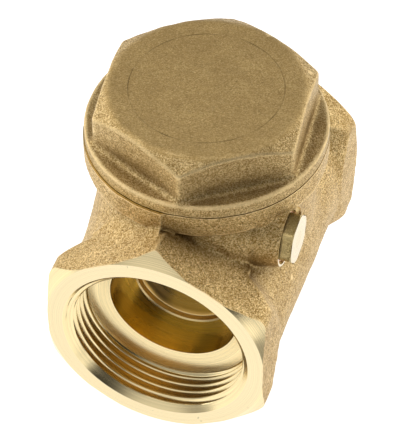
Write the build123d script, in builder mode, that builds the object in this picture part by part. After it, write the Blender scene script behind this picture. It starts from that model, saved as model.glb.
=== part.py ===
"""Swing check valve, brass, with G 1 1/2 female ends, a screwed cap and a hinge plug on the side.

Millimetres, +Z up. The flow axis is the Y axis, and the water runs towards +Y. The origin is the
centre of the end face of the inlet. The axis of the cap is upright at cap_y, and the hinge of the
clapper lies along X, above and just behind the seat.
"""

from build123d import *
import math
import os

os.makedirs("parts", exist_ok=True)

# ---- threaded mouths, G 1 1/2 (ISO 228-1) ----
thread_minor_r = 44.845 / 2  # the thread is drawn as a plain cylinder at its crests
mouth_r = 24.65
mouth_depth = 1.9
thread_depth = 11.9  # end face to shoulder
shoulder_depth = 13.9

# ---- lengths along the flow axis ----
inlet_y = 0.0
outlet_y = inlet_y + 80.8
cap_y = inlet_y + 41.1
seat_y = inlet_y + 23.1
hinge_y = seat_y + 1.7
chamber_end_y = cap_y + 22.0

# ---- hexagonal ends ----
end_flats = 57.0  # across flats
end_corner_round = 5.0
end_corner_r = end_flats / math.sqrt(3) - 0.8  # over the rounded corners
end_hex_length = 8.2
end_slope_length = 6.2  # from the hexagon down to the round barrel
end_chamfer_r = 28.85  # where the chamfer of the corners meets the end face
end_chamfer_depth = 2.6

# ---- body ----
barrel_r = 28.25
neck_r = 28.3
neck_root_r = 26.6  # inside the barrel, so that the neck grows out of it
neck_root_z = -3.0
neck_full_z = 12.0
neck_flare_z = 22.0
neck_top_r = 29.3
collar_r = 30.75
collar_bottom_z = 31.8
collar_top_z = 37.6
rib_half_width = 1.2  # parting line between the inlet's top corner and the collar
rib_top_z = 31.9
rib_foot_z = 26.0
rib_bite = 1.0  # how far the rib runs into the hexagon and the neck
seat_bore_r = 17.1
seat_land_r = 19.3
seat_land_height = 0.8
chamber_r = 23.5  # round the flow axis
throat_r = 19.6
neck_bore_r = 24.3
neck_bore_floor_z = 20.3  # above the seat
lower_bore_r = 23.2

# ---- hinge ----
hinge_z = 24.5
pin_r = 2.0
pin_clearance = 0.05
pin_far_x = -21.1
pin_near_x = 20.8
pin_hole_far_x = -21.3
pin_chamfer = 0.4
boss_root_x = 12.0
boss_root_r = 12.0
boss_flare_x = 15.6
boss_flare_r = 11.6
boss_waist_x = 19.6
boss_waist_r = 8.8
boss_face_x = 26.6
boss_face_r = 7.6
spot_face_x = 25.5
spot_face_r = 7.1

# ---- hinge plug ----
plug_flats = 12.0
plug_corner_round = 0.6
plug_turn = 12.0  # degrees from the Y axis to a corner
plug_head_end_x = 29.5
plug_chamfer_r = 5.7  # where the chamfer of the head meets its end
plug_thread_r = 4.0
plug_shank_end_x = 21.0
plug_washer_t = 0.5
plug_washer_r = 6.5
screw_clearance = 0.06  # radial, where a screw thread is drawn as a plain cylinder

# ---- cap ----
cap_flats = 50.7
cap_corner_round = 1.6
cap_turn = 35.6  # degrees from the X axis to a corner
cap_top_z = 52.5
cap_chamfer_r = 24.3
cap_chamfer_depth = 3.0
flange_r = 30.6
flange_bottom_z = 38.2
flange_top_z = 41.5
flange_edge_round = 0.6
cap_thread_r = 26.0
cap_skirt_bottom_z = 29.6
cap_thread_relief = 1.4  # below the skirt
cap_lead_in = 0.6
cap_hollow_r = 20.5
cap_hollow_top_z = 46.0
cap_hollow_round = 4.0
gasket_inner_r = 26.4
gasket_outer_r = 28.9

# ---- clapper ----
disc_r = 19.5
disc_z = -1.0  # the disc hangs this much below the middle of its seat
disc_t = 4.5
disc_edge_round = 0.8
recess_r = 13.9
recess_floor_r = 12.7
recess_depth = 1.6
stud_r = 4.0
stud_length = 12.9
stud_chamfer = 0.6
eye_r = 7.6
eye_t = 4.2
eye_gap = 0.3
hub_r = 3.8
hub_half_length = 12.4
web_half_width = 4.2
web_inset = 0.4  # from the hub's top and bottom
web_shoulder = (0.6, 2.5)  # slope where the web runs onto the eye: along the flow, and down
web_shoulder_drop = 1.0  # below the pin
web_front_rise = 0.9  # above the disc
disc_washer_r = 8.0
disc_washer_t = 1.2
disc_washer_gap = 0.1
nut_flats = 13.0
nut_t = 4.6
nut_chamfer_r = 6.3  # where the chamfer of the nut meets its back
split_pin_r = 0.75
split_hole_r = 0.85
split_pin_setback = 1.7  # from the end of the stud
split_eye_r = 1.55
split_eye_hole_r = 0.75
split_eye_reach = 1.9  # centre of the eye from the stud's side
split_eye_half_t = 0.6
split_leg_half_t = 0.45
split_leg_root = 0.7  # where the legs part, from the stud's side
split_leg_spread = 2.8
split_leg_w = 0.7

# ---- worked out from the above ----
chamfer_run = math.tan(math.radians(30))
disc_back_y = seat_y + disc_t
stud_end_y = disc_back_y + stud_length
eye_front_y = disc_back_y + eye_gap
eye_back_y = eye_front_y + eye_t
washer_front_y = eye_back_y + disc_washer_gap
nut_front_y = washer_front_y + disc_washer_t
split_pin_y = stud_end_y - split_pin_setback
plug_head_x = spot_face_x + plug_washer_t
cap_axis = Axis((0, cap_y, 0), (0, 0, 1))
hinge_axis = Axis((0, hinge_y, hinge_z), (1, 0, 0))
stud_axis = Axis((0, 0, disc_z), (0, 1, 0))

# half sections for turned shapes: local x is the radius, local y runs along the axis
flow_section = Plane.XY
cap_section = Plane(origin=(0, cap_y, 0), x_dir=(1, 0, 0), z_dir=(0, -1, 0))
stud_section = Plane(origin=(0, 0, disc_z), x_dir=(1, 0, 0), z_dir=(0, 0, 1))
# here local x runs along the axis and local y is the radius
hinge_section = Plane(origin=(0, hinge_y, hinge_z), x_dir=(1, 0, 0), z_dir=(0, -1, 0))


def across_flow(y, z=0.0):
    """A plane square to the flow axis: local x is -X, local y is Z, and it extrudes towards +Y."""
    return Plane(origin=(0, y, z), x_dir=(-1, 0, 0), z_dir=(0, 1, 0))


def across_cap(z):
    """A level plane centred on the cap's axis, which extrudes upwards."""
    return Plane(origin=(0, cap_y, z))


def across_hinge(x):
    """A plane square to the hinge axis: local x is Y, local y is Z, and it extrudes towards +X."""
    return Plane(origin=(x, hinge_y, hinge_z), x_dir=(0, 1, 0), z_dir=(1, 0, 0))


def across_split_pin(x):
    """A plane square to the split pin, which extrudes towards +X."""
    return Plane(origin=(x, split_pin_y, disc_z), x_dir=(0, 1, 0), z_dir=(1, 0, 0))


def end_waste(face_y, inward):
    """Half section of what is turned off a hexagonal end: corner chamfer, and slope to the barrel."""
    outside_r = end_corner_r + 1.8
    chamfer_end_y = face_y + inward * end_chamfer_depth * (outside_r - end_chamfer_r) / (
        end_corner_r - end_chamfer_r
    )
    hex_end_y = face_y + inward * end_hex_length
    slope_end_y = hex_end_y + inward * end_slope_length
    with BuildSketch(flow_section) as waste:
        with BuildLine():
            Polyline(
                (end_chamfer_r, face_y),
                (outside_r, chamfer_end_y),
                (outside_r, face_y),
                close=True,
            )
        make_face()
        with BuildLine():
            Polyline(
                (end_corner_r, hex_end_y),
                (barrel_r, slope_end_y),
                (outside_r, slope_end_y),
                (outside_r, hex_end_y),
                close=True,
            )
        make_face()
    return waste.sketch


def pipe_socket(face_y, inward, last_r):
    """Half section of a threaded mouth and its shoulder, down to last_r."""
    thread_end_y = face_y + inward * thread_depth
    shoulder_y = face_y + inward * shoulder_depth
    with BuildSketch(flow_section) as socket:
        with BuildLine():
            Polyline(
                (0, face_y),
                (mouth_r, face_y),
                (thread_minor_r, face_y + inward * mouth_depth),
                (thread_minor_r, thread_end_y),
                (last_r, shoulder_y),
                (0, shoulder_y),
                close=True,
            )
        make_face()
    return socket.sketch


# ---- valve body ----
with BuildPart() as valve_body:
    # hexagonal ends, corners up and down
    for face_y, inward in ((inlet_y, 1), (outlet_y, -1)):
        with BuildSketch(across_flow(face_y)) as end_profile:
            RegularPolygon(end_flats / 2, 6, major_radius=False, rotation=30)
            fillet(end_profile.vertices(), end_corner_round)
        extrude(amount=inward * (end_hex_length + end_slope_length))
        revolve(end_waste(face_y, inward), Axis.Y, mode=Mode.SUBTRACT)
    # round barrel between them
    with BuildSketch(across_flow(inlet_y + end_chamfer_depth)):
        Circle(barrel_r)
    extrude(amount=outlet_y - inlet_y - 2 * end_chamfer_depth)
    # neck and collar
    with BuildSketch(cap_section):
        with BuildLine():
            Polyline(
                (0, neck_root_z),
                (neck_root_r, neck_root_z),
                (neck_r, neck_full_z),
                (neck_r, neck_flare_z),
                (neck_top_r, collar_bottom_z),
                (collar_r, collar_bottom_z),
                (collar_r, collar_top_z),
                (0, collar_top_z),
                close=True,
            )
        make_face()
    revolve(axis=cap_axis)
    # rib along the parting line
    with BuildSketch(Plane.YZ):
        with BuildLine():
            Polyline(
                (inlet_y + end_hex_length - rib_bite, rib_foot_z),
                (inlet_y + end_hex_length - rib_bite, rib_top_z),
                (cap_y - neck_r + rib_bite, rib_top_z),
                (cap_y - neck_r + rib_bite, rib_foot_z),
                close=True,
            )
        make_face()
    extrude(amount=rib_half_width, both=True)
    # boss for the hinge plug
    with BuildSketch(hinge_section):
        with BuildLine():
            Polyline(
                (boss_root_x, 0),
                (boss_root_x, boss_root_r),
                (boss_flare_x, boss_flare_r),
                (boss_waist_x, boss_waist_r),
                (boss_face_x, boss_face_r),
                (boss_face_x, 0),
                close=True,
            )
        make_face()
    revolve(axis=hinge_axis)
    # the two threaded mouths
    revolve(pipe_socket(inlet_y, 1, seat_bore_r), Axis.Y, mode=Mode.SUBTRACT)
    revolve(pipe_socket(outlet_y, -1, throat_r), Axis.Y, mode=Mode.SUBTRACT)
    # bore of the seat, chamber and outlet throat
    with BuildSketch(across_flow(inlet_y + thread_depth)):
        Circle(seat_bore_r)
    extrude(amount=seat_y - inlet_y - thread_depth, mode=Mode.SUBTRACT)
    with BuildSketch(across_flow(seat_y - seat_land_height)):
        Circle(chamber_r)
    extrude(amount=chamber_end_y - seat_y + seat_land_height, mode=Mode.SUBTRACT)
    with BuildSketch(across_flow(chamber_end_y)):
        Circle(throat_r)
    extrude(amount=outlet_y - thread_depth - chamber_end_y, mode=Mode.SUBTRACT)
    # bore of the neck, which stops above the seat and is open to the chamber behind it
    with BuildSketch(across_cap(neck_bore_floor_z)):
        Circle(neck_bore_r)
    extrude(amount=collar_top_z - neck_bore_floor_z, mode=Mode.SUBTRACT)
    with BuildSketch(across_cap(0)):
        Circle(lower_bore_r)
        with Locations((0, seat_y - seat_land_height - cap_y)):
            Rectangle(
                2 * lower_bore_r,
                lower_bore_r,
                align=(Align.CENTER, Align.MAX),
                mode=Mode.SUBTRACT,
            )
    extrude(amount=neck_bore_floor_z, mode=Mode.SUBTRACT)
    # screw thread for the cap, drawn as a plain bore, with its lead-in
    with BuildSketch(cap_section):
        with BuildLine():
            Polyline(
                (0, cap_skirt_bottom_z - cap_thread_relief),
                (cap_thread_r, cap_skirt_bottom_z - cap_thread_relief),
                (cap_thread_r, collar_top_z - cap_lead_in),
                (cap_thread_r + cap_lead_in, collar_top_z),
                (0, collar_top_z),
                close=True,
            )
        make_face()
    revolve(axis=cap_axis, mode=Mode.SUBTRACT)
    # land of the seat, proud of the end wall of the chamber
    with BuildSketch(across_flow(seat_y - seat_land_height)):
        Circle(seat_land_r)
        Circle(seat_bore_r, mode=Mode.SUBTRACT)
    extrude(amount=seat_land_height)
    # spot face, plug thread and pin holes
    with BuildSketch(across_hinge(spot_face_x)):
        Circle(spot_face_r)
    extrude(amount=neck_r, mode=Mode.SUBTRACT)
    with BuildSketch(across_hinge(plug_shank_end_x)):
        Circle(plug_thread_r + screw_clearance)
    extrude(amount=spot_face_x - plug_shank_end_x, mode=Mode.SUBTRACT)
    with BuildSketch(across_hinge(pin_hole_far_x)):
        Circle(pin_r + pin_clearance)
    extrude(amount=plug_shank_end_x - pin_hole_far_x, mode=Mode.SUBTRACT)
valve_body.part.label = "valve_body"
export_step(valve_body.part, "parts/valve_body.step")

# ---- screwed cap ----
with BuildPart() as screw_cap:
    with BuildSketch(across_cap(flange_bottom_z)) as cap_hex:
        RegularPolygon(cap_flats / 2, 6, major_radius=False, rotation=cap_turn)
        fillet(cap_hex.vertices(), cap_corner_round)
    extrude(amount=cap_top_z - flange_bottom_z)
    # chamfer that takes the corners of the hexagon down to a round top
    chamfer_width = cap_flats / math.sqrt(3) - cap_chamfer_r
    with BuildSketch(cap_section):
        with BuildLine():
            Polyline(
                (cap_chamfer_r, cap_top_z),
                (cap_chamfer_r + 2 * chamfer_width, cap_top_z - 2 * cap_chamfer_depth),
                (cap_chamfer_r + 2 * chamfer_width, cap_top_z),
                close=True,
            )
        make_face()
    revolve(axis=cap_axis, mode=Mode.SUBTRACT)
    # flange with rounded rims
    with BuildSketch(across_cap(flange_bottom_z)):
        Circle(flange_r)
    extrude(amount=flange_top_z - flange_bottom_z)
    rims = screw_cap.edges().filter_by(GeomType.CIRCLE).filter_by(lambda e: abs(e.radius - flange_r) < 0.01)
    fillet(rims, flange_edge_round)
    # threaded skirt, hollow up into the hexagon
    with BuildSketch(across_cap(cap_skirt_bottom_z)):
        Circle(cap_thread_r - screw_clearance)
    extrude(amount=flange_bottom_z - cap_skirt_bottom_z)
    with BuildSketch(across_cap(cap_skirt_bottom_z)):
        Circle(cap_hollow_r)
    extrude(amount=cap_hollow_top_z - cap_skirt_bottom_z, mode=Mode.SUBTRACT)
    roof = screw_cap.edges().filter_by(GeomType.CIRCLE).filter_by(lambda e: abs(e.radius - cap_hollow_r) < 0.01)
    fillet(roof.sort_by(Axis.Z)[-1], cap_hollow_round)
    skirt_end = screw_cap.edges().filter_by(GeomType.CIRCLE).group_by(Axis.Z)[0]
    chamfer(skirt_end.sort_by(SortBy.RADIUS)[-1], cap_lead_in)
screw_cap.part.label = "screw_cap"
export_step(screw_cap.part, "parts/screw_cap.step")

# ---- gasket between flange and collar ----
with BuildPart() as cap_gasket:
    with BuildSketch(across_cap(collar_top_z)):
        Circle(gasket_outer_r)
        Circle(gasket_inner_r, mode=Mode.SUBTRACT)
    extrude(amount=flange_bottom_z - collar_top_z)
cap_gasket.part.label = "cap_gasket"
export_step(cap_gasket.part, "parts/cap_gasket.step")

# ---- hinge plug ----
with BuildPart() as hinge_plug:
    with BuildSketch(across_hinge(plug_head_x)) as plug_hex:
        RegularPolygon(plug_flats / 2, 6, major_radius=False, rotation=plug_turn)
        fillet(plug_hex.vertices(), plug_corner_round)
    extrude(amount=plug_head_end_x - plug_head_x)
    # chamfer on the outer end of the hexagon
    with BuildSketch(hinge_section):
        with BuildLine():
            Polyline(
                (plug_head_end_x, plug_chamfer_r),
                (plug_head_end_x, plug_flats),
                (plug_head_end_x - chamfer_run * (plug_flats - plug_chamfer_r), plug_flats),
                close=True,
            )
        make_face()
    revolve(axis=hinge_axis, mode=Mode.SUBTRACT)
    with BuildSketch(across_hinge(plug_shank_end_x)):
        Circle(plug_thread_r)
    extrude(amount=plug_head_x - plug_shank_end_x)
hinge_plug.part.label = "hinge_plug"
export_step(hinge_plug.part, "parts/hinge_plug.step")

# ---- sealing washer of the plug ----
with BuildPart() as plug_washer:
    with BuildSketch(across_hinge(spot_face_x)):
        Circle(plug_washer_r)
        Circle(plug_thread_r + 2 * screw_clearance, mode=Mode.SUBTRACT)
    extrude(amount=plug_washer_t)
plug_washer.part.label = "plug_washer"
export_step(plug_washer.part, "parts/plug_washer.step")

# ---- hinge pin ----
with BuildPart() as hinge_pin:
    with BuildSketch(across_hinge(pin_far_x)):
        Circle(pin_r)
    extrude(amount=pin_near_x - pin_far_x)
    chamfer(hinge_pin.edges().filter_by(GeomType.CIRCLE), pin_chamfer)
hinge_pin.part.label = "hinge_pin"
export_step(hinge_pin.part, "parts/hinge_pin.step")

# ---- swing arm: hub on the pin, web, and eye for the stud of the disc ----
with BuildPart() as swing_arm:
    with BuildSketch(across_hinge(-hub_half_length)):
        Circle(hub_r)
    extrude(amount=2 * hub_half_length)
    with BuildSketch(across_flow(eye_front_y, disc_z)):
        Circle(eye_r)
    extrude(amount=eye_t)
    with BuildSketch(Plane.YZ):
        with BuildLine():
            Polyline(
                (hinge_y, hinge_z + hub_r - web_inset),
                (eye_back_y - web_shoulder[0], hinge_z - web_shoulder_drop),
                (eye_back_y, hinge_z - web_shoulder_drop - web_shoulder[1]),
                (eye_back_y, disc_z),
                (eye_front_y, disc_z),
                (eye_front_y, disc_z + disc_r + web_front_rise),
                (hinge_y, hinge_z - hub_r + web_inset),
                close=True,
            )
        make_face()
    extrude(amount=web_half_width, both=True)
    with BuildSketch(across_hinge(-hub_half_length)):
        Circle(pin_r + pin_clearance)
    extrude(amount=2 * hub_half_length, mode=Mode.SUBTRACT)
    with BuildSketch(across_flow(eye_front_y, disc_z)):
        Circle(stud_r + pin_clearance)
    extrude(amount=eye_t, mode=Mode.SUBTRACT)
swing_arm.part.label = "swing_arm"
export_step(swing_arm.part, "parts/swing_arm.step")

# ---- disc, turned in one piece with its stud ----
with BuildPart() as valve_disc:
    with BuildSketch(stud_section):
        with BuildLine():
            Polyline(
                (0, seat_y + recess_depth),
                (recess_floor_r, seat_y + recess_depth),
                (recess_r, seat_y),
                (disc_r - disc_edge_round, seat_y),
                (disc_r, seat_y + disc_edge_round),
                (disc_r, disc_back_y - disc_edge_round),
                (disc_r - disc_edge_round, disc_back_y),
                (stud_r, disc_back_y),
                (stud_r, stud_end_y - stud_chamfer),
                (stud_r - stud_chamfer, stud_end_y),
                (0, stud_end_y),
                close=True,
            )
        make_face()
    revolve(axis=stud_axis)
    with BuildSketch(across_split_pin(-stud_r - 1)):
        Circle(split_hole_r)
    extrude(amount=2 * stud_r + 2, mode=Mode.SUBTRACT)
valve_disc.part.label = "valve_disc"
export_step(valve_disc.part, "parts/valve_disc.step")

# ---- washer and nut on the stud ----
with BuildPart() as disc_washer:
    with BuildSketch(across_flow(washer_front_y, disc_z)):
        Circle(disc_washer_r)
        Circle(stud_r + screw_clearance, mode=Mode.SUBTRACT)
    extrude(amount=disc_washer_t)
disc_washer.part.label = "disc_washer"
export_step(disc_washer.part, "parts/disc_washer.step")

with BuildPart() as disc_nut:
    with BuildSketch(across_flow(nut_front_y, disc_z)):
        RegularPolygon(nut_flats / 2, 6, major_radius=False)
        Circle(stud_r + screw_clearance / 2, mode=Mode.SUBTRACT)
    extrude(amount=nut_t)
    nut_back_y = nut_front_y + nut_t
    with BuildSketch(stud_section):
        with BuildLine():
            Polyline(
                (nut_chamfer_r, nut_back_y),
                (nut_flats, nut_back_y),
                (nut_flats, nut_back_y - chamfer_run * (nut_flats - nut_chamfer_r)),
                close=True,
            )
        make_face()
    revolve(axis=stud_axis, mode=Mode.SUBTRACT)
disc_nut.part.label = "disc_nut"
export_step(disc_nut.part, "parts/disc_nut.step")

# ---- split pin through the stud, behind the nut ----
with BuildPart() as nut_split_pin:
    leg_x = -stud_r - split_leg_root
    eye_x = stud_r + split_eye_reach
    shank_end_x = eye_x - (split_eye_r + split_eye_hole_r) / 2
    split_pin_side = Plane(origin=(0, split_pin_y, disc_z), x_dir=(1, 0, 0), z_dir=(0, -1, 0))
    with BuildSketch(across_split_pin(leg_x)):
        Circle(split_pin_r)
    extrude(amount=shank_end_x - leg_x)
    with BuildSketch(split_pin_side):
        with Locations((eye_x, 0)):
            Circle(split_eye_r)
            Circle(split_eye_hole_r, mode=Mode.SUBTRACT)
    extrude(amount=split_eye_half_t, both=True)
    # the two legs, bent apart
    for side in (-1, 1):
        with BuildSketch(split_pin_side):
            with BuildLine():
                Polyline(
                    (leg_x + split_leg_w / 2, 0),
                    (leg_x - split_leg_w, side * (split_leg_spread - split_leg_w / 3)),
                    (leg_x, side * split_leg_spread),
                    (leg_x + split_leg_w, side * split_leg_w / 2),
                    (leg_x + split_leg_w, 0),
                    close=True,
                )
            make_face()
        extrude(amount=split_leg_half_t, both=True)
nut_split_pin.part.label = "nut_split_pin"
export_step(nut_split_pin.part, "parts/nut_split_pin.step")
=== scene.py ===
"""Looks of a brass swing check valve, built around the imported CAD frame.

Sizes are worked out in millimetres in the frame's own axes, and turned into metres when a mesh is
made. The flow axis is Y, the cap stands up along Z, and the hinge of the clapper lies along X.
Castings are drawn as signed distance fields, meshed as a surface net, and then machined: turned
cutters with real helical threads are taken out of them, and leave their own bright material.
"""

import math

import bmesh
import bpy
import numpy as np
from mathutils import Matrix, Vector


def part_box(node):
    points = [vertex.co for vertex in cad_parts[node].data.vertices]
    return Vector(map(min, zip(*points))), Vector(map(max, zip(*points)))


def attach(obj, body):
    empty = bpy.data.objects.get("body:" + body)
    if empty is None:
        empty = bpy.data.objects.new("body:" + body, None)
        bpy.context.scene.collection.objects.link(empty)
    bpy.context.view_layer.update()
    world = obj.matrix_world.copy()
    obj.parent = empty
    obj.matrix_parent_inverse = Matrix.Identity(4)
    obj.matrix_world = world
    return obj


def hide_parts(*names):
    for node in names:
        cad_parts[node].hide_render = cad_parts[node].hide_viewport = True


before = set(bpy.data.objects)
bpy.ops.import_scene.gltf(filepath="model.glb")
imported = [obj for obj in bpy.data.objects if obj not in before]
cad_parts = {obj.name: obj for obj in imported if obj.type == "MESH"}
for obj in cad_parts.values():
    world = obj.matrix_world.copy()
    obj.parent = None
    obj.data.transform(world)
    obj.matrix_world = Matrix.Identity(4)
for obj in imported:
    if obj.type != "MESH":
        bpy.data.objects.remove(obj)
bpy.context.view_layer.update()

MM = 0.001
TURN = 2 * math.pi


def box_mm(node):
    """Lowest and highest corner of a CAD node, in millimetres."""
    low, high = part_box(node)
    return [c / MM for c in low], [c / MM for c in high]


# ---------------------------------------------------------------- sizes, from the frame

body_low, body_high = box_mm("valve_body")
cap_low, cap_high = box_mm("screw_cap")
plug_low, plug_high = box_mm("hinge_plug")
disc_low, disc_high = box_mm("valve_disc")
_, gasket_high = box_mm("cap_gasket")
ring_low, ring_high = box_mm("plug_washer")
pin_low, pin_high = box_mm("hinge_pin")

inlet_y = body_low[1]
outlet_y = body_high[1]
collar_top_z = body_high[2]
cap_y = (cap_low[1] + cap_high[1]) / 2
hinge_y = (pin_low[1] + pin_high[1]) / 2
hinge_z = (pin_low[2] + pin_high[2]) / 2
seat_y = disc_low[1]
disc_z = (disc_low[2] + disc_high[2]) / 2
disc_r = (disc_high[2] - disc_low[2]) / 2
cap_top_z = cap_high[2]
skirt_bottom_z = cap_low[2]
flange_r = (cap_high[0] - cap_low[0]) / 2
flange_bottom_z = gasket_high[2]
collar_r = body_high[0]
spot_face_x = ring_low[0]

# pipe thread of the ends
pipe_pitch = 25.4 / 11
pipe_major_r = 47.803 / 2
pipe_minor_r = 44.845 / 2
mouth_r = 24.65
mouth_depth = 1.9
thread_depth = 11.9
pipe_run_out = 1.6
plain_stretch = 0.2
shoulder_depth = 13.9

# hexagonal ends
end_flats = 57.0
end_corner_round = 5.0
end_corner_r = end_flats / math.sqrt(3) - 0.8
end_hex_length = 8.2
end_slope_length = 6.2
end_chamfer_r = 28.85
end_chamfer_depth = 2.6

# barrel, neck and boss
barrel_r = 28.25
neck_r = 27.6
neck_root_z = -3.0
neck_full_z = 12.0
neck_flare_z = 22.0
neck_top_r = 27.9
collar_bottom_z = 31.8
boss_start_x = 0.0
boss_start_r = 12.0
boss_root_x = 8.0
boss_root_r = 12.9
boss_flare_x = 15.6
boss_flare_r = 11.6
boss_waist_x = 19.6
boss_waist_r = 9.2
boss_face_x = 26.6
boss_face_r = 7.6
spot_face_r = 7.1
boss_steepness = 0.85  # keeps the field of the flared boss close to a distance
neck_taper = 1.0  # the neck is this much slimmer at its root
casting_allowance = 1.0  # left on the faces that are turned afterwards

# parting line: the left half of the mould sits forward and has bigger fillets
parting_x = -0.6
parting_step = 0.35  # half width of the step between the two halves
parting_corner_round = 1.0
mould_mismatch = 0.55
left_fillet = 7.0
right_fillet = 0.9
outlet_fillet = 3.0
fillet_change = 16.0  # length over which the inlet's fillets turn into the outlet's
boss_fillet = 3.0
end_fillet = 1.0
cone_edge = 0.4
collar_edge = 0.5
collar_fillet = 0.6
top_corner_extra = 2.2  # the top corner of the inlet runs on to the collar
body_waviness = 0.06
cap_waviness = 0.05
body_shrinkage = 0.03
side_margin = 0.01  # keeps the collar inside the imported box

# cavity
seat_bore_r = 17.1
seat_land_r = 19.3
seat_land_height = 0.8
chamber_r = 23.5
chamber_end_y = cap_y + 22.0
throat_r = 19.6
neck_bore_r = 24.3
neck_bore_floor_z = 20.3
lower_bore_r = 23.2
chamber_round = 1.5
bore_round = 1.0
neck_bore_round = 0.8
cavity_edge = 0.5

# cap
cap_flats = 50.7
cap_corner_round = 1.6
cap_turn = math.radians(35.6)
cap_chamfer_r = 24.3
cap_chamfer_depth = 3.0
cap_chamfer_edge = 0.4
cap_top_edge = 0.5
flange_edge = 0.7
flange_fillet = 1.8
cap_ring_r = 19.3
flange_top_z = 41.5
cap_pitch = 1.5
cap_thread_r = 26.0
cap_thread_depth = 0.85
cap_hollow_r = 20.5
cap_hollow_top_z = 46.0
cap_hollow_round = 4.0
lip_r = 29.2  # the lip of the collar stands round the gasket
lip_height = 0.4
screw_clearance = 0.06
cap_thread_entry = 0.6
cap_thread_run_out = 1.4
skirt_chamfer = 0.9
skirt_neck = 1.0  # the plain stretch between the thread and the flange

# hinge plug and its hole
plug_flats = 12.0
plug_turn = math.radians(12.0)
plug_corner_round = 0.6
plug_shank_r = 4.0
plug_pitch = 1.0
plug_thread_depth = 0.55
plug_thread_neck = 0.6
plug_lead_in = 0.5
plug_edge = 0.15
plug_chamfer_rise = 0.62
plug_chamfer_angle = math.radians(30)
plug_chamfer_rows = 12
pin_hole_r = 2.05
pin_end_room = 0.2

# disc and its stud
recess_depth = 1.6
recess_floor_r = 12.7
recess_arc_r = 12.95
recess_wall_r = 13.5
recess_round = 0.3
seat_ring_inner_r = 13.9
disc_front_chamfer = 0.5
disc_back_chamfer = 0.8
disc_thickness = 4.5
stud_r = 4.0
stud_thread_length = 6.4
stud_pitch = 1.0
stud_root_r = 3.45
stud_end_chamfer = 0.7
stud_end_r = 3.0

# how far the cutters reach past the casting
overcut = 4.0
mouth_overcut = 3.0
facing_overcut = 1.0
facing_margin = 0.01
boss_overcut = 0.3


# ---------------------------------------------------------------- distance fields

def smooth_union(a, b, k):
    """Union of two fields with a fillet about as wide as k."""
    h = np.maximum(k - np.abs(a - b), 0) / k
    return np.minimum(a, b) - h * h * k / 4


def smooth_max(a, b, k):
    """Intersection of two fields with the edge rounded over about k."""
    return -smooth_union(-a, -b, k)


def hexagon(u, v, flats, rounding, turn):
    """Hexagon across flats with rounded corners; turn is the angle of one corner from u."""
    c, s = math.cos(turn), math.sin(turn)
    p = np.abs(c * v - s * u)
    q = np.abs(c * u + s * v)
    apothem = flats / 2 - rounding
    fold = np.minimum(0.5 * p - math.sqrt(0.75) * q, 0) * -2
    fold = np.where(fold > 0, fold, 0)
    q = q - fold * math.sqrt(0.75)
    p = p + fold * 0.5
    half_side = apothem / math.sqrt(3)
    q = q - np.clip(q, -half_side, half_side)
    return np.hypot(q, p - apothem) * np.sign(p - apothem) - rounding


def body_skin(x, y, z):
    """Outside of the valve body."""
    right_half = np.clip((x - parting_x) / (2 * parting_step) + 0.5, 0, 1)
    radius = np.hypot(x, z)
    skin = radius - barrel_r
    slope = (end_corner_r - barrel_r) / end_slope_length
    on_top = z > np.abs(x)
    # the corner on the parting line is trimmed sharp
    hexagonal = np.where(
        on_top,
        hexagon(z, x, end_flats, parting_corner_round, 0),
        hexagon(z, x, end_flats, end_corner_round, 0),
    )
    length = end_hex_length + end_slope_length + np.where(on_top, top_corner_extra, 0)
    for inward in (y - inlet_y, outlet_y - y):
        cone = radius - barrel_r - (length - inward) * slope
        end = smooth_max(hexagonal, cone / math.hypot(1, slope), cone_edge)
        skin = smooth_union(skin, end, end_fillet)
    # neck, with the boss of the hinge growing out of it
    from_cap = np.hypot(x, y - cap_y)
    neck_at = np.interp(
        z,
        [neck_root_z, neck_full_z, neck_flare_z, collar_bottom_z],
        [neck_r - neck_taper, neck_r, neck_r, neck_top_r],
    )
    neck = np.maximum(from_cap - neck_at, neck_root_z - z)
    from_hinge = np.hypot(y - hinge_y, z - hinge_z)
    boss_at = np.interp(
        x,
        [boss_start_x, boss_root_x, boss_flare_x, boss_waist_x, boss_face_x],
        [boss_start_r, boss_root_r, boss_flare_r, boss_waist_r, boss_face_r],
    )
    boss_ends = np.maximum(boss_start_x - x, x - boss_face_x - casting_allowance)
    boss = np.maximum((from_hinge - boss_at) * boss_steepness, boss_ends)
    neck = smooth_union(neck, boss, boss_fillet)
    fillet = left_fillet + (right_fillet - left_fillet) * right_half
    fillet += (outlet_fillet - fillet) * np.clip((y - cap_y) / fillet_change + 0.5, 0, 1)
    skin = smooth_union(skin, neck, fillet)
    # collar
    collar = smooth_max(from_cap - collar_r, collar_bottom_z - z, collar_edge)
    return smooth_union(skin, collar, collar_fillet)


def body_cavity(x, y, z):
    """Cast hollow of the body: the chamber and the bore of the neck."""
    radius = np.hypot(x, z)
    from_cap = np.hypot(x, y - cap_y)
    floor_y = seat_y - y
    chamber = smooth_max(radius - chamber_r, np.maximum(floor_y, y - chamber_end_y), chamber_round)
    neck = np.maximum(from_cap - neck_bore_r, neck_bore_floor_z - z)
    lower = smooth_max(from_cap - lower_bore_r, np.maximum(floor_y, -z), bore_round)
    return smooth_union(smooth_union(chamber, lower, bore_round), neck, neck_bore_round)


def valve_casting(x, y, z):
    """The body as it comes from the mould, with its skin a little uneven."""
    left_half = np.clip((parting_x - x) / (2 * parting_step) + 0.5, 0, 1)
    skin = body_skin(x, y + mould_mismatch * left_half, z)
    skin = skin + body_waviness * unevenness(x, y, z) + body_shrinkage
    for past_end in (inlet_y - y, y - outlet_y, z - collar_top_z):
        skin = np.maximum(skin, past_end - casting_allowance)
    skin = np.maximum(skin, np.abs(x) - collar_r + side_margin)
    skin = np.maximum(skin, body_low[2] - z)
    return smooth_max(skin, -body_cavity(x, y, z), cavity_edge)


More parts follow.
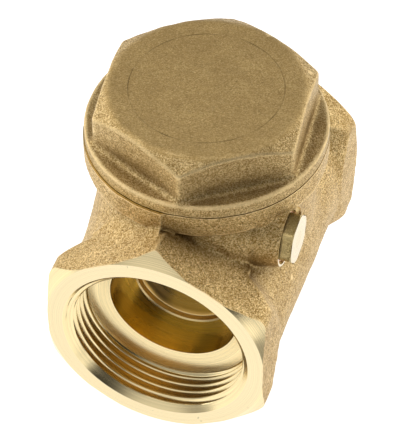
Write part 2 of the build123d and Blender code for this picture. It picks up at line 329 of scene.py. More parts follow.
def cap_casting(x, y, z):
    """The cap before it is turned: hexagon, flange and a plain skirt."""
    from_cap = np.hypot(x, y - cap_y)
    hexagonal = hexagon(x, y - cap_y, cap_flats, cap_corner_round, cap_turn)
    slope = cap_chamfer_depth / (cap_flats / math.sqrt(3) - cap_chamfer_r)
    cone = (z - cap_top_z + (from_cap - cap_chamfer_r) * slope) / math.hypot(1, slope)
    head = smooth_max(hexagonal, cone, cap_chamfer_edge)
    head = smooth_max(head, z - cap_top_z, cap_top_edge)
    flange = smooth_max(from_cap - flange_r, z - flange_top_z, flange_edge)
    solid = smooth_union(head, flange, flange_fillet)
    solid = solid + cap_waviness * unevenness(x, y, z)
    solid = np.maximum(solid, z - cap_top_z)
    solid = np.maximum(solid, from_cap - flange_r)
    return np.maximum(solid, skirt_bottom_z - casting_allowance - z)


waves = []
rng = np.random.default_rng(11)
for length in (17.0, 11.0, 8.0, 6.0, 4.5, 3.6, 3.0, 2.5):
    for _ in range(2):
        direction = rng.normal(size=3)
        direction *= TURN / length / np.linalg.norm(direction)
        waves.append((direction, rng.uniform(0, TURN), (length / 17.0) ** 0.5))


def unevenness(x, y, z):
    """Slow waves of a cast surface, mostly between -1 and 1."""
    total = 0
    for direction, phase, height in waves:
        total = total + height * np.sin(direction[0] * x + direction[1] * y + direction[2] * z + phase)
    return total / 2.2


# ---------------------------------------------------------------- meshes

def new_object(name, verts, faces, materials, indices=None):
    """A mesh object from points in millimetres."""
    mesh = bpy.data.meshes.new(name)
    mesh.from_pydata((np.asarray(verts) * MM).tolist(), [], faces)
    for m in materials:
        mesh.materials.append(m)
    if indices is not None:
        mesh.polygons.foreach_set("material_index", indices)
    obj = bpy.data.objects.new(name, mesh)
    bpy.context.scene.collection.objects.link(obj)
    return obj


def surface_net(field, low, high, step):
    """Points and four-sided faces of the surface where the field is zero; it is negative inside."""
    axes = [np.arange(a, b + step, step) for a, b in zip(low, high)]
    values = field(*np.meshgrid(*axes, indexing="ij"))
    inside = values < 0
    shape = [n - 1 for n in values.shape]

    def corner(grid, i, j, k):
        return grid[i:i + shape[0], j:j + shape[1], k:k + shape[2]]

    offsets = [(i, j, k) for i in (0, 1) for j in (0, 1) for k in (0, 1)]
    count = sum(corner(inside, *o).astype(np.int8) for o in offsets)
    cells = np.argwhere((count > 0) & (count < 8))
    number = np.full(shape, -1)
    number[tuple(cells.T)] = np.arange(len(cells))
    total = np.zeros((len(cells), 3))
    crossings = np.zeros(len(cells))
    for a in offsets:
        for axis in range(3):
            if a[axis]:
                continue
            b = list(a)
            b[axis] = 1
            va = values[tuple((cells + a).T)]
            vb = values[tuple((cells + b).T)]
            crossed = (va < 0) != (vb < 0)
            t = np.where(crossed, va / np.where(crossed, va - vb, 1), 0)
            point = np.tile(np.asarray(a, float), (len(cells), 1))
            point[:, axis] = t
            total += point * crossed[:, None]
            crossings += crossed
    points = np.asarray(low) + (cells + total / crossings[:, None]) * step
    # settle the points on the surface itself
    for _ in range(3):
        x, y, z = points.T
        d = field(x, y, z)
        e = 0.02
        slope = np.stack([
            field(x + e, y, z) - field(x - e, y, z),
            field(x, y + e, z) - field(x, y - e, z),
            field(x, y, z + e) - field(x, y, z - e),
        ], axis=1) / (2 * e)
        move = slope * (d / np.maximum((slope ** 2).sum(axis=1), 0.2))[:, None]
        points -= np.clip(move, -0.4 * step, 0.4 * step)
    faces = []
    for axis in range(3):
        u, v = [a for a in range(3) if a != axis]
        first = np.take(inside, range(values.shape[axis] - 1), axis=axis)
        second = np.take(inside, range(1, values.shape[axis]), axis=axis)
        for flip, edges in ((False, first & ~second), (True, ~first & second)):
            at = np.argwhere(edges)
            at = at[(at[:, u] > 0) & (at[:, v] > 0) & (at[:, u] < shape[u]) & (at[:, v] < shape[v])]
            ring = []
            for du, dv in ((1, 1), (0, 1), (0, 0), (1, 0)):
                cell = at.copy()
                cell[:, u] -= du
                cell[:, v] -= dv
                ring.append(number[tuple(cell.T)])
            quads = np.stack(ring, axis=1)
            if flip != (axis == 1):
                quads = quads[:, ::-1]
            faces.append(quads)
    return points, np.concatenate(faces).tolist()


def thread_radius(phase, deep_r, crest_r):
    """Radius of a V thread with small flats; deep_r is where the groove ends."""
    ramp = np.abs((phase % 1.0) - 0.5) * 2  # 0 in the middle of the groove, 1 on the crest
    t = np.clip((ramp - 0.16) / 0.68, 0, 1)
    return deep_r + (crest_r - deep_r) * t


class Turned:
    """A closed turned shape: rows of points from the axis, round the outside and back to the axis.

    h runs along the axis, r is the radius. A threaded stretch follows the helix, so its crests
    stay sharp.
    """

    columns = 180

    def __init__(self, h, r=0.0, material=0, columns=None):
        self.columns = columns or Turned.columns
        self.angles = np.linspace(0, TURN, self.columns + 1)
        self.h = [np.full(self.columns + 1, float(h))]
        self.r = [np.full(self.columns + 1, float(r))]
        self.material = []

    def to(self, h, r, material=0):
        """A straight stretch to (h, r); r may differ round the axis, as on a hexagon."""
        self.h.append(np.full(self.columns + 1, float(h)))
        self.r.append(np.broadcast_to(np.asarray(r, float), self.angles.shape))
        self.material.append(material)
        return self

    def hexagon(self, flats, rounding, turn):
        """Radius of a hexagon with rounded corners at each angle."""
        a = (self.angles - turn) % (TURN / 6)
        off = np.abs(a - TURN / 12)  # from the middle of a flat
        flat_r = flats / 2 / np.cos(off)
        corner_r = flats / 2 / math.cos(TURN / 12)
        cut = rounding * (corner_r / (flats / 2) - 1)
        return smooth_union(flat_r, np.full_like(flat_r, corner_r - cut), 2.5 * cut)

    def arc(self, centre_h, centre_r, radius, start, end, material=0, steps=6):
        """A quarter of a circle or so, angles in degrees from the radial direction."""
        for a in np.radians(np.linspace(start, end, steps + 1)):
            self.to(centre_h + radius * math.sin(a), centre_r + radius * math.cos(a), material)
        return self

    def thread(self, end_h, pitch, deep_r, crest_r, material=0, limit=None, rows_per_turn=18,
               run_in=0.0, run_out=0.0, origin=0.0):
        """A thread from the last row to end_h. limit(h) cuts the radius, as a chamfer does."""
        start_h = float(self.h[-1][0])
        sense = 1 if end_h > start_h else -1
        length = abs(end_h - start_h)
        rows = int(math.ceil((length / pitch + 1) * rows_per_turn))
        turned = self.angles / TURN
        for i in range(rows + 1):
            h = start_h + sense * (i / rows_per_turn - 1) * pitch + turned * pitch
            h = np.clip(h, min(start_h, end_h), max(start_h, end_h))
            phase = (h - origin) / pitch - turned
            r = thread_radius(phase, deep_r, crest_r)
            if run_in:
                r = crest_r + (r - crest_r) * np.clip(np.abs(h - start_h) / run_in, 0, 1)
            if run_out:
                r = crest_r + (r - crest_r) * np.clip(np.abs(end_h - h) / run_out, 0, 1)
            if limit:
                r = limit(h, r)
            self.h.append(h)
            self.r.append(r)
            self.material.append(material)
        return self

    def build(self, name, place, materials):
        """The closed object. place(h, r, angle) gives points in the frame."""
        h = np.array(self.h)
        r = np.array(self.r)
        angle = np.broadcast_to(self.angles, h.shape)
        points = np.stack(place(h, r, angle), axis=-1).reshape(-1, 3)
        rounded = np.round(points / 0.002).astype(np.int64)
        _, first, same = np.unique(rounded, axis=0, return_index=True, return_inverse=True)
        same = same.reshape(h.shape)
        faces, indices = [], []
        for i, material in enumerate(self.material):
            for j in range(self.columns):
                ring = [same[i, j], same[i, j + 1], same[i + 1, j + 1], same[i + 1, j]]
                ring = [v for n, v in enumerate(ring) if v != ring[n - 1]]
                if len(set(ring)) == len(ring) and len(ring) > 2:
                    faces.append([int(v) for v in ring])
                    indices.append(material)
        obj = new_object(name, points[first], faces, materials, indices)
        fix_normals(obj)
        return obj


def about_y(h, r, angle):
    return r * np.sin(angle), h, r * np.cos(angle)


def about_stud(h, r, angle):
    return r * np.sin(angle), h, disc_z + r * np.cos(angle)


def about_cap(h, r, angle):
    return r * np.cos(angle), cap_y + r * np.sin(angle), h


def about_hinge(h, r, angle):
    return h, hinge_y + r * np.cos(angle), hinge_z + r * np.sin(angle)


def fix_normals(obj):
    bm = bmesh.new()
    bm.from_mesh(obj.data)
    bmesh.ops.recalc_face_normals(bm, faces=bm.faces)
    bm.to_mesh(obj.data)
    bm.free()


def combine(obj, other, operation):
    """A boolean with the exact solver, applied at once; the other object is deleted."""
    modifier = obj.modifiers.new("combine", "BOOLEAN")
    modifier.object = other
    modifier.operation = operation
    modifier.solver = "EXACT"
    modifier.material_mode = "TRANSFER"
    graph = bpy.context.evaluated_depsgraph_get()
    graph.update()
    result = bpy.data.meshes.new_from_object(obj.evaluated_get(graph))
    obj.modifiers.clear()
    obj.data = result
    bpy.data.objects.remove(other)


def finish_piece(obj, body, nodes=(), sharp=32):
    """Smooth shading with sharp machined edges; the piece rides on its body for its nodes."""
    obj.data.shade_smooth()
    obj.data.set_sharp_from_angle(angle=math.radians(sharp))
    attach(obj, body)
    if nodes:
        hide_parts(*nodes)
    return obj


# ---------------------------------------------------------------- materials

def shader(name, roughness, metallic=1.0):
    """A new material with its Principled shader and a helper that adds nodes."""
    material = bpy.data.materials.new(name)
    material.use_nodes = True
    tree = material.node_tree
    surface = tree.nodes["Principled BSDF"]
    surface.inputs["Metallic"].default_value = metallic
    surface.inputs["Roughness"].default_value = roughness

    def node(kind, **values):
        n = tree.nodes.new(kind)
        for key, value in values.items():
            if hasattr(n, key):
                setattr(n, key, value)
            else:
                n.inputs[key.replace("_", " ")].default_value = value
        return n

    return material, tree, surface, node


def ramp(node, tree, source, stops):
    """A colour ramp fed by source; stops are (position, colour) pairs."""
    r = node("ShaderNodeValToRGB")
    elements = r.color_ramp.elements
    while len(elements) < len(stops):
        elements.new(0.5)
    for element, (position, colour) in zip(elements, stops):
        element.position = position
        element.color = (*colour, 1)
    tree.links.new(source, r.inputs["Fac"])
    return r.outputs["Color"]


def remap(node, tree, source, low, high, to_low, to_high):
    m = node("ShaderNodeMapRange")
    for key, value in (("From Min", low), ("From Max", high), ("To Min", to_low), ("To Max", to_high)):
        m.inputs[key].default_value = value
    tree.links.new(source, m.inputs["Value"])
    return m.outputs["Result"]


def mix_colours(node, tree, factor, a, b, blend="MIX"):
    m = node("ShaderNodeMix", data_type="RGBA", blend_type=blend)
    sockets = [s for s in m.inputs if s.enabled]
    for socket, value in zip(sockets, (factor, a, b)):
        if hasattr(value, "node"):
            tree.links.new(value, socket)
        elif isinstance(value, (int, float)):
            socket.default_value = value
        else:
            socket.default_value = (*value, 1)
    return [s for s in m.outputs if s.enabled][0]


def distance_from_axis(tree, node, place, axis, centre):
    """Sockets of the distance from an axis of the frame and of the place along it."""
    shifted = node("ShaderNodeVectorMath", operation="SUBTRACT")
    shifted.inputs[1].default_value = [c * MM for c in centre]
    tree.links.new(place, shifted.inputs[0])
    split = node("ShaderNodeSeparateXYZ")
    tree.links.new(shifted.outputs["Vector"], split.inputs["Vector"])
    flat = node("ShaderNodeVectorMath", operation="MULTIPLY")
    flat.inputs[1].default_value = [0.0 if a == axis else 1.0 for a in "XYZ"]
    tree.links.new(shifted.outputs["Vector"], flat.inputs[0])
    length = node("ShaderNodeVectorMath", operation="LENGTH")
    tree.links.new(flat.outputs["Vector"], length.inputs[0])
    return length.outputs["Value"], split.outputs[axis]


def ring_mask(tree, node, place):
    """The faint circle on the cap's top, broken here and there."""
    r, z = distance_from_axis(tree, node, place, "Z", (0, cap_y, 0))
    off = node("ShaderNodeMath", operation="SUBTRACT")
    tree.links.new(r, off.inputs[0])
    off.inputs[1].default_value = cap_ring_r * MM
    size = node("ShaderNodeMath", operation="ABSOLUTE")
    tree.links.new(off.outputs[0], size.inputs[0])
    line = remap(node, tree, size.outputs[0], 0.00008, 0.00020, 0.8, 0.0)
    top = remap(node, tree, z, (cap_top_z - 0.5) * MM, (cap_top_z - 0.3) * MM, 0.0, 1.0)
    breaks = node("ShaderNodeTexNoise", Scale=120.0, Detail=2.0)
    tree.links.new(place, breaks.inputs["Vector"])
    here = remap(node, tree, breaks.outputs["Fac"], 0.4, 0.6, 0.2, 1.0)
    for factor in (top, here):
        times = node("ShaderNodeMath", operation="MULTIPLY")
        tree.links.new(line, times.inputs[0])
        tree.links.new(factor, times.inputs[1])
        line = times.outputs[0]
    return line


def mix_values(node, tree, factor, a, b):
    m = node("ShaderNodeMix", data_type="FLOAT")
    if hasattr(factor, "node"):
        tree.links.new(factor, m.inputs["Factor"])
    else:
        m.inputs["Factor"].default_value = factor
    tree.links.new(a, m.inputs["A"])
    tree.links.new(b, m.inputs["B"])
    return m.outputs["Result"]


def cast_brass(name, dark, mid, light, roughness=0.5, grain=1.0, turned_ring=False):
    """Sand-blasted cast brass: fine grain, patches of tarnish, painted shade in corners and hollows,
    and bright edges that are partly wear and partly a painted highlight.

    turned_ring makes the top of the cap smoother, with a faint circle and fine scratches.
    """
    material, tree, surface, node = shader(name, roughness)
    place = node("ShaderNodeTexCoord").outputs["Object"]

    def noise(scale, detail=3.0, rough=0.6):
        n = node("ShaderNodeTexNoise", Scale=scale, Detail=detail, Roughness=rough)
        tree.links.new(place, n.inputs["Vector"])
        return n.outputs["Fac"]

    def cells(scale):
        """A random value for each small grain."""
        n = node("ShaderNodeTexVoronoi", Scale=scale)
        tree.links.new(place, n.inputs["Vector"])
        split = node("ShaderNodeSeparateColor")
        tree.links.new(n.outputs["Color"], split.inputs["Color"])
        return split.outputs["Red"], n.outputs["Distance"]

    grain_value, grain_height = cells(4600.0)
    grains = mix_values(node, tree, 0.5, noise(3400.0, 2.0, 0.7), grain_value)
    patches = noise(140.0, 4.0, 0.6)
    if turned_ring:
        # the top is smoother than the sides
        _, z = distance_from_axis(tree, node, place, "Z", (0, cap_y, 0))
        calm = remap(node, tree, z, (cap_top_z - 0.8) * MM, (cap_top_z - 0.2) * MM, 0.0, 0.6)
        even = node("ShaderNodeValue")
        even.outputs[0].default_value = 0.47
        grains = mix_values(node, tree, calm, grains, even.outputs[0])
    colour = ramp(node, tree, grains, [(0.30, dark), (0.5, mid), (0.74, light)])
    rare, _ = cells(2700.0)
    speckle = 0.25 if turned_ring else 0.7
    flecks = remap(node, tree, rare, 0.955, 0.975, 0.0, speckle * grain)
    colour = mix_colours(node, tree, flecks, colour, [min(1.0, c * 1.12) for c in light])
    pitting = 0.25 if turned_ring else 0.6
    pits = remap(node, tree, rare, 0.06, 0.03, 0.0, pitting * grain)
    colour = mix_colours(node, tree, pits, colour, [c * 0.4 for c in dark])
    tarnish = remap(node, tree, patches, 0.35, 0.7, 0.0, 0.3)
    colour = mix_colours(node, tree, tarnish, colour, dark)
    # painted shade: the colour is darkened where ambient occlusion finds corners and hollows
    corners = node("ShaderNodeAmbientOcclusion", samples=8)
    corners.inputs["Distance"].default_value = 0.007
    painted_corner_shade = remap(node, tree, corners.outputs["AO"], 0.4, 0.95, 0.75, 0.0)
    colour = mix_colours(node, tree, painted_corner_shade, colour, [c * 0.45 for c in dark])
    # bright convex edges: partly wear, partly a painted highlight where edges catch the light
    edges = node("ShaderNodeNewGeometry").outputs["Pointiness"]
    edge_wear_and_highlight = remap(node, tree, edges, 0.51, 0.545, 0.0, 0.85)
    colour = mix_colours(node, tree, edge_wear_and_highlight, colour, light)
    if turned_ring:
        colour = mix_colours(node, tree, ring_mask(tree, node, place), colour, [c * 0.5 for c in dark])
        for angle, stretch in ((0.6, (110, 5200, 110)), (-1.1, (150, 6000, 150))):
            along = node("ShaderNodeMapping")
            along.inputs["Rotation"].default_value = (0, 0, angle)
            along.inputs["Scale"].default_value = stretch
            tree.links.new(place, along.inputs["Vector"])
            scratch = node("ShaderNodeTexNoise", Scale=1.0, Detail=1.0)
            tree.links.new(along.outputs["Vector"], scratch.inputs["Vector"])
            here = remap(node, tree, scratch.outputs["Fac"], 0.71, 0.77, 0.0, 0.5)
            colour = mix_colours(node, tree, here, colour, light)
    tree.links.new(colour, surface.inputs["Base Color"])
    spread = remap(node, tree, grains, 0.3, 0.7, roughness + 0.1, roughness - 0.08)
    tree.links.new(spread, surface.inputs["Roughness"])
    bump = node("ShaderNodeBump", Strength=0.75 * grain, Distance=0.00016)
    relief = mix_values(node, tree, 0.5, noise(1500.0, 3.0, 0.7), grain_height)
    tree.links.new(relief, bump.inputs["Height"])
    coarse = node("ShaderNodeBump", Strength=0.4 * grain, Distance=0.0003)
    tree.links.new(noise(420.0, 2.0, 0.5), coarse.inputs["Height"])
    tree.links.new(coarse.outputs["Normal"], bump.inputs["Normal"])
    tree.links.new(bump.outputs["Normal"], surface.inputs["Normal"])
    return material


def turned_brass(name, base, axis, centre, roughness=0.22, groove=0.0002, strength=0.12, stains=0.0):
    """Machined brass with the fine rings of the lathe about an axis of the frame.

    stains adds a few thin dark marks.
    """
    material, tree, surface, node = shader(name, roughness)
    place = node("ShaderNodeTexCoord").outputs["Object"]
    r, along = distance_from_axis(tree, node, place, axis, centre)
    rings = node("ShaderNodeCombineXYZ")
    tree.links.new(r, rings.inputs["X"])
    tree.links.new(along, rings.inputs["Y"])
    fine = node("ShaderNodeTexNoise", Scale=1.0 / groove, Detail=2.0, Roughness=0.7)
    tree.links.new(rings.outputs["Vector"], fine.inputs["Vector"])
    broad = node("ShaderNodeTexNoise", Scale=260.0, Detail=2.0)
    tree.links.new(rings.outputs["Vector"], broad.inputs["Vector"])
    dark = [c * 0.86 for c in base]
    light = [min(c * 1.06, 1) for c in base]
    colour = ramp(node, tree, fine.outputs["Fac"], [(0.35, dark), (0.6, light)])
    if stains:
        marks = node("ShaderNodeTexNoise", Scale=330.0, Detail=5.0, Roughness=0.7, Distortion=1.5)
        tree.links.new(place, marks.inputs["Vector"])
        here = remap(node, tree, marks.outputs["Fac"], 0.70, 0.73, 0.0, stains)
        colour = mix_colours(node, tree, here, colour, [c * 0.25 for c in base])
    tree.links.new(colour, surface.inputs["Base Color"])
    rough = remap(node, tree, broad.outputs["Fac"], 0.3, 0.7, roughness - 0.05, roughness + 0.08)
    tree.links.new(rough, surface.inputs["Roughness"])
    bump = node("ShaderNodeBump", Strength=strength, Distance=0.00005)
    tree.links.new(fine.outputs["Fac"], bump.inputs["Height"])
    tree.links.new(bump.outputs["Normal"], surface.inputs["Normal"])
    return material


cast = cast_brass("cast_brass", (0.31, 0.185, 0.05), (0.60, 0.405, 0.155), (0.92, 0.70, 0.36))
cast_cap = cast_brass(
    "cast_brass_cap", (0.30, 0.19, 0.065), (0.53, 0.365, 0.145), (0.84, 0.64, 0.33), turned_ring=True
)
flow_turned = turned_brass("turned_mouth", (0.83, 0.69, 0.42), "Y", (0, 0, 0), stains=0.8)
# the thread's brass is painted warmer and brighter than the face's: painted light for the light
# bounced between its flanks
thread_turned = turned_brass("turned_thread", (0.88, 0.72, 0.40), "Y", (0, 0, 0), 0.2, strength=0.06)
bore_turned = turned_brass("turned_bore", (0.66, 0.485, 0.10), "Y", (0, 0, 0), 0.15)
cap_turned = turned_brass("turned_cap", (0.80, 0.62, 0.29), "Z", (0, cap_y, 0))
hinge_turned = turned_brass("turned_plug", (0.80, 0.66, 0.40), "X", (0, hinge_y, hinge_z), 0.2)
# the plug's hex flats: tarnished, and painted darker still as a painted shade of the brown body
# reflected in them
plug_flat = cast_brass(
    "plug_flats", (0.24, 0.17, 0.06), (0.36, 0.27, 0.11), (0.55, 0.42, 0.19), roughness=0.35, grain=0.3
)
disc_turned = turned_brass("turned_disc", (0.74, 0.56, 0.27), "Y", (0, 0, disc_z), 0.26)


def fibre(name, colour):
    """Pressed fibre of the gasket."""
    material, tree, surface, node = shader(name, 0.85, 0.0)
    place = node("ShaderNodeTexCoord").outputs["Object"]
    flecks = node("ShaderNodeTexNoise", Scale=3000.0, Detail=3.0)
    tree.links.new(place, flecks.inputs["Vector"])
    shades = [(0.35, [c * 0.6 for c in colour]), (0.65, colour)]
    tree.links.new(ramp(node, tree, flecks.outputs["Fac"], shades), surface.inputs["Base Color"])
    return material


gasket_fibre = fibre("gasket_fibre", (0.10, 0.075, 0.05))
copper = turned_brass("soft_copper", (0.70, 0.36, 0.22), "X", (0, hinge_y, hinge_z), 0.35)
steel = turned_brass("ground_steel", (0.52, 0.51, 0.49), "X", (0, hinge_y, hinge_z), 0.3)

# ---------------------------------------------------------------- valve body

BODY, FLOW, CAP, HINGE, BORE, THREAD = range(6)
body_materials = [cast, flow_turned, cap_turned, hinge_turned, bore_turned, thread_turned]
step = 0.5
points, faces = surface_net(
    valve_casting,
    (-collar_r - 5, inlet_y - 3, body_low[2] - 3),
    (collar_r + 5, outlet_y + 3, collar_top_z + 3),
    step,
)
body = new_object("body_casting", points, faces, body_materials)
fix_normals(body)


def mouth_cutter(face_y, sense, last_r, last_h):
    """What the lathe takes off one end: face, corner chamfer, mouth, thread, shoulder and bore."""

    def h(depth):
        return face_y + sense * depth

    wide_r = end_corner_r + mouth_overcut
    wide_depth = end_chamfer_depth * (wide_r - end_chamfer_r) / (end_corner_r - end_chamfer_r)
    chamfer_slope = (mouth_r - pipe_minor_r) / mouth_depth

    def chamfered(at, r):
        return np.maximum(r, mouth_r - np.abs(at - face_y) * chamfer_slope)

    cutter = Turned(h(-overcut))
    cutter.to(h(-overcut), wide_r, FLOW)
    cutter.to(h(wide_depth), wide_r, FLOW)
    cutter.to(h(0), end_chamfer_r, THREAD)
    cutter.to(h(0), mouth_r, FLOW)
    cutter.thread(h(thread_depth), pipe_pitch, pipe_major_r, pipe_minor_r, THREAD, chamfered,
                  run_out=pipe_run_out, origin=face_y)
    cutter.to(h(thread_depth + plain_stretch), pipe_minor_r, THREAD)
    cutter.to(h(shoulder_depth), last_r, THREAD)
    cutter.to(last_h, last_r, BORE)
    cutter.to(last_h, 0, BORE)
    return cutter.build("mouth_cutter", about_y, body_materials)


combine(body, mouth_cutter(inlet_y, 1, seat_bore_r, seat_y + 3), "DIFFERENCE")
combine(body, mouth_cutter(outlet_y, -1, throat_r, chamber_end_y - 3), "DIFFERENCE")

# top of the collar and the thread for the cap
cap_thread_top_r = cap_thread_r + cap_thread_entry
cutter = Turned(collar_top_z + overcut)
cutter.to(collar_top_z + overcut, collar_r + overcut, CAP)
cutter.to(collar_top_z + lip_height, collar_r + overcut, CAP)
cutter.to(collar_top_z + lip_height, lip_r, CAP)
cutter.to(collar_top_z, lip_r, CAP)
cutter.to(collar_top_z, cap_thread_top_r, CAP)
cutter.to(collar_top_z - cap_thread_entry, cap_thread_r, CAP)
cutter.thread(skirt_bottom_z, cap_pitch, cap_thread_r, cap_thread_r - cap_thread_depth, CAP,
              run_in=0.7, run_out=0.5)
cutter.to(skirt_bottom_z, cap_thread_r, CAP)
cutter.to(skirt_bottom_z - cap_thread_run_out, cap_thread_r, CAP)
cutter.to(skirt_bottom_z - cap_thread_run_out, 0, CAP)
combine(body, cutter.build("cap_cutter", about_cap, body_materials), "DIFFERENCE")

# face round the seat's land
facing_r = chamber_r + facing_margin
facing_y = seat_y + facing_overcut
cutter = Turned(seat_y - seat_land_height, seat_land_r)
cutter.to(seat_y - seat_land_height, facing_r, FLOW)
cutter.to(facing_y, facing_r, FLOW)
cutter.to(facing_y, seat_land_r, FLOW)
cutter.to(seat_y - seat_land_height, seat_land_r, FLOW)
combine(body, cutter.build("seat_cutter", about_y, body_materials), "DIFFERENCE")

# boss: face, spot face, thread for the plug, and the hole for the pin
plug_hole_r = plug_shank_r + screw_clearance
boss_cut_r = boss_face_r + boss_overcut
cutter = Turned(boss_face_x + overcut, columns=96)
cutter.to(boss_face_x + overcut, boss_cut_r, HINGE)
cutter.to(boss_face_x, boss_cut_r, HINGE)
cutter.to(boss_face_x, spot_face_r, HINGE)
cutter.to(spot_face_x, spot_face_r, HINGE)
cutter.to(spot_face_x, plug_hole_r, HINGE)
cutter.thread(plug_low[0], plug_pitch, plug_hole_r, plug_hole_r - plug_thread_depth, HINGE,
              run_in=0.4, run_out=0.4, rows_per_turn=12)
cutter.to(plug_low[0], pin_hole_r, HINGE)
cutter.to(pin_low[0] - pin_end_room, pin_hole_r, HINGE)
cutter.to(pin_low[0] - pin_end_room, 0, HINGE)
combine(body, cutter.build("boss_cutter", about_hinge, body_materials), "DIFFERENCE")
finish_piece(body, "body", ["valve_body"])

# ---------------------------------------------------------------- screwed cap

HEAD, LATHE = range(2)
cap_materials = [cast_cap, cap_turned]
points, faces = surface_net(
    cap_casting,
    (-flange_r - 2, cap_y - flange_r - 2, skirt_bottom_z - 3),
    (flange_r + 2, cap_y + flange_r + 2, cap_top_z + 2),
    step,
)
cap = new_object("cap", points, faces, cap_materials)
fix_normals(cap)
skirt_r = cap_thread_r - screw_clearance
cutter = Turned(cap_hollow_top_z)
cutter.to(cap_hollow_top_z, cap_hollow_r - cap_hollow_round, LATHE)
cutter.arc(cap_hollow_top_z - cap_hollow_round, cap_hollow_r - cap_hollow_round, cap_hollow_round,
           90, 0, LATHE)
cutter.to(skirt_bottom_z, cap_hollow_r, LATHE)
cutter.to(skirt_bottom_z, skirt_r - skirt_chamfer, LATHE)
cutter.to(skirt_bottom_z + skirt_chamfer, skirt_r, LATHE)
skirt_root_r = skirt_r - cap_thread_depth
cutter.thread(flange_bottom_z - skirt_neck, cap_pitch, skirt_r, skirt_root_r, LATHE)
cutter.to(flange_bottom_z - skirt_neck, skirt_root_r, LATHE)
cutter.to(flange_bottom_z, skirt_root_r, LATHE)
cutter.to(flange_bottom_z, flange_r + overcut, LATHE)
cutter.to(skirt_bottom_z - overcut, flange_r + overcut, LATHE)
cutter.to(skirt_bottom_z - overcut, 0, LATHE)
combine(cap, cutter.build("skirt_cutter", about_cap, cap_materials), "DIFFERENCE")
finish_piece(cap, "cap", ["screw_cap"])

# ---------------------------------------------------------------- hinge plug

# the second material is the dark hex flats: tarnish plus painted shade
FRESH, TARNISHED_AND_SHADED = range(2)
plug_head_x = ring_high[0]
plug_end_x = plug_high[0]
plug_neck_r = plug_shank_r - 0.6
plug = Turned(plug_low[0], columns=144)
plug_hex = plug.hexagon(plug_flats, plug_corner_round, plug_turn)
plug.to(plug_low[0], plug_neck_r, FRESH)
plug.to(plug_low[0] + plug_lead_in, plug_shank_r - 0.1, FRESH)
plug.thread(plug_head_x - plug_thread_neck, plug_pitch, plug_shank_r,
            plug_shank_r - plug_thread_depth, FRESH, rows_per_turn=12)
plug.to(plug_head_x - plug_thread_neck, plug_neck_r, FRESH)
plug.to(plug_head_x, plug_neck_r, FRESH)
plug.to(plug_head_x, plug_hex - plug_edge, FRESH)
plug.to(plug_head_x + plug_edge, plug_hex, TARNISHED_AND_SHADED)
chamfer_start_r = plug_flats / 2 + 0.3
for i in range(plug_chamfer_rows + 1):
    depth = plug_chamfer_rise * (1 - i / plug_chamfer_rows)
    cone_r = chamfer_start_r + depth / math.tan(plug_chamfer_angle)
    plug.to(plug_end_x - depth, np.minimum(plug_hex, cone_r), TARNISHED_AND_SHADED)
plug.to(plug_end_x, chamfer_start_r - 0.1, FRESH)
plug.to(plug_end_x, 0, FRESH)
plug = plug.build("plug", about_hinge, [hinge_turned, plug_flat])
finish_piece(plug, "plug", ["hinge_plug"], 25)

# ---------------------------------------------------------------- disc with its stud

disc_back_y = seat_y + disc_thickness
stud_end_y = disc_high[1]
disc = Turned(seat_y + recess_depth, columns=216)
disc.to(seat_y + recess_depth, recess_floor_r)
disc.arc(seat_y + recess_depth - recess_round, recess_arc_r, recess_round, 90, 30, steps=3)
disc.to(seat_y + recess_round, recess_wall_r)
disc.to(seat_y, seat_ring_inner_r)
disc.to(seat_y, disc_r - disc_front_chamfer)
disc.to(seat_y + disc_front_chamfer, disc_r)
disc.to(disc_back_y - disc_back_chamfer, disc_r)
disc.to(disc_back_y, disc_r - disc_back_chamfer)
disc.to(disc_back_y, stud_r)
disc.to(stud_end_y - stud_thread_length, stud_r)
disc.thread(stud_end_y - stud_end_chamfer, stud_pitch, stud_r, stud_root_r, rows_per_turn=12)
disc.to(stud_end_y - stud_end_chamfer, stud_root_r - 0.05)
disc.to(stud_end_y, stud_end_r)
disc.to(stud_end_y, 0)
disc = disc.build("disc", about_stud, [disc_turned])
finish_piece(disc, "disc", ["valve_disc"], 25)

# ---------------------------------------------------------------- kept CAD nodes

for name, material in (
    ("disc_washer", disc_turned), ("disc_nut", disc_turned),
    ("swing_arm", cast), ("hinge_pin", steel),
    ("nut_split_pin", steel), ("plug_washer", copper), ("cap_gasket", gasket_fibre),
):
    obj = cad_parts[name]
    for i in range(len(obj.material_slots)):
        obj.material_slots[i].material = material

# ---------------------------------------------------------------- stage

floor_z = body_low[2] - 2.0
bpy.ops.mesh.primitive_plane_add(size=6.0, location=(0, cap_y * MM, floor_z * MM))
floor = bpy.context.object
floor.name = "floor"
floor_paint, floor_tree, floor_surface, floor_node = shader("lit_table", 0.9, 0.0)
floor_surface.inputs["Base Color"].default_value = (0.4, 0.4, 0.4, 1)
floor_surface.inputs["Emission Color"].default_value = (1, 1, 1, 1)


def floor_light(centre, inner, outer, inside, outside):
    """A soft round patch on the table: centre and radii in metres, brightness inside and outside."""
    distance = floor_node("ShaderNodeVectorMath", operation="DISTANCE")
    floor_tree.links.new(floor_node("ShaderNodeTexCoord").outputs["Object"], distance.inputs[0])
    distance.inputs[1].default_value = (*centre, 0)
    return remap(floor_node, floor_tree, distance.outputs["Value"], inner, outer, inside, outside)


# the table is lit from below round the valve, with a dark card in front on the right
glow = floor_node("ShaderNodeMath", operation="MULTIPLY")
floor_tree.links.new(floor_light((0.0, 0.0), 0.35, 0.8, 0.95, 0.3), glow.inputs[0])
floor_tree.links.new(floor_light((0.095, -0.086), 0.04, 0.062, 0.05, 1.0), glow.inputs[1])
floor_tree.links.new(glow.outputs[0], floor_surface.inputs["Emission Strength"])
floor.data.materials.append(floor_paint)


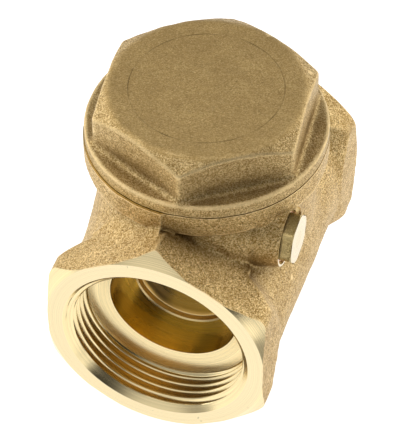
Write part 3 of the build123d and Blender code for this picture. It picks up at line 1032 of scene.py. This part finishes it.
def studio_world(level, lobes):
    """An even tent of light with soft brighter and darker parts: (direction, width, brightness)."""
    world = bpy.data.worlds.new("studio")
    bpy.context.scene.world = world
    world.use_nodes = True
    tree = world.node_tree
    direction = tree.nodes.new("ShaderNodeTexCoord").outputs["Generated"]
    colour = None
    for aim, width, brightness in lobes:
        dot = tree.nodes.new("ShaderNodeVectorMath")
        dot.operation = "DOT_PRODUCT"
        tree.links.new(direction, dot.inputs[0])
        dot.inputs[1].default_value = Vector(aim).normalized()
        lobe = tree.nodes.new("ShaderNodeMapRange")
        lobe.interpolation_type = "SMOOTHSTEP"
        lobe.inputs["From Min"].default_value = math.cos(math.radians(width))
        lobe.inputs["From Max"].default_value = math.cos(math.radians(width * 0.5))
        tree.links.new(dot.outputs["Value"], lobe.inputs["Value"])
        mixed = tree.nodes.new("ShaderNodeMix")
        mixed.data_type = "FLOAT"
        tree.links.new(lobe.outputs["Result"], mixed.inputs["Factor"])
        if colour is None:
            mixed.inputs["A"].default_value = level
        else:
            tree.links.new(colour, mixed.inputs["A"])
        mixed.inputs["B"].default_value = brightness
        colour = mixed.outputs["Result"]
    tree.links.new(colour, tree.nodes["Background"].inputs["Strength"])
    tree.nodes["Background"].inputs["Color"].default_value = (1, 1, 1, 1)


studio_world(0.38, [
    ((0.72, -0.59, 0.30), 40, 0.03),
    ((0.64, 0.70, 0.20), 46, 1.8),
    ((-0.6, -0.18, 0.77), 25, 1.1),
    ((-1.0, 0.15, 0.1), 50, 1.9),
    ((-0.23, -0.95, 0.2), 30, 0.85),
])
bpy.context.scene.view_settings.view_transform = "Standard"


def softbox(name, place, aim, size, power):
    """A square area light at place (metres), looking at aim."""
    light = bpy.data.lights.new(name, "AREA")
    light.shape = "SQUARE"
    light.size = size
    light.energy = power
    obj = bpy.data.objects.new(name, light)
    obj.location = place
    obj.rotation_euler = (Vector(aim) - Vector(place)).to_track_quat("-Z", "Y").to_euler()
    bpy.context.scene.collection.objects.link(obj)


centre = (0, cap_y * MM, 0.01)
softbox("overhead", (-0.25, 0.0, 0.9), centre, 0.6, 1.5)

# camera, looking down on the inlet from the hinge plug's side
eye = Vector((138.80, -346.76, 443.35)) * MM
right = Vector((0.94394, 0.32996, -0.00988))
up = Vector((-0.23389, 0.68965, 0.68533))
back = right.cross(up)
turn = Matrix((right, up, back)).transposed()
camera_data = bpy.data.cameras.new("camera")
camera_data.lens = 191.03
camera_data.sensor_width = 36.0
camera_data.clip_start = 0.01
camera = bpy.data.objects.new("camera", camera_data)
camera.matrix_world = Matrix.Translation(eye) @ turn.to_4x4()
bpy.context.scene.collection.objects.link(camera)
bpy.context.scene.camera = camera
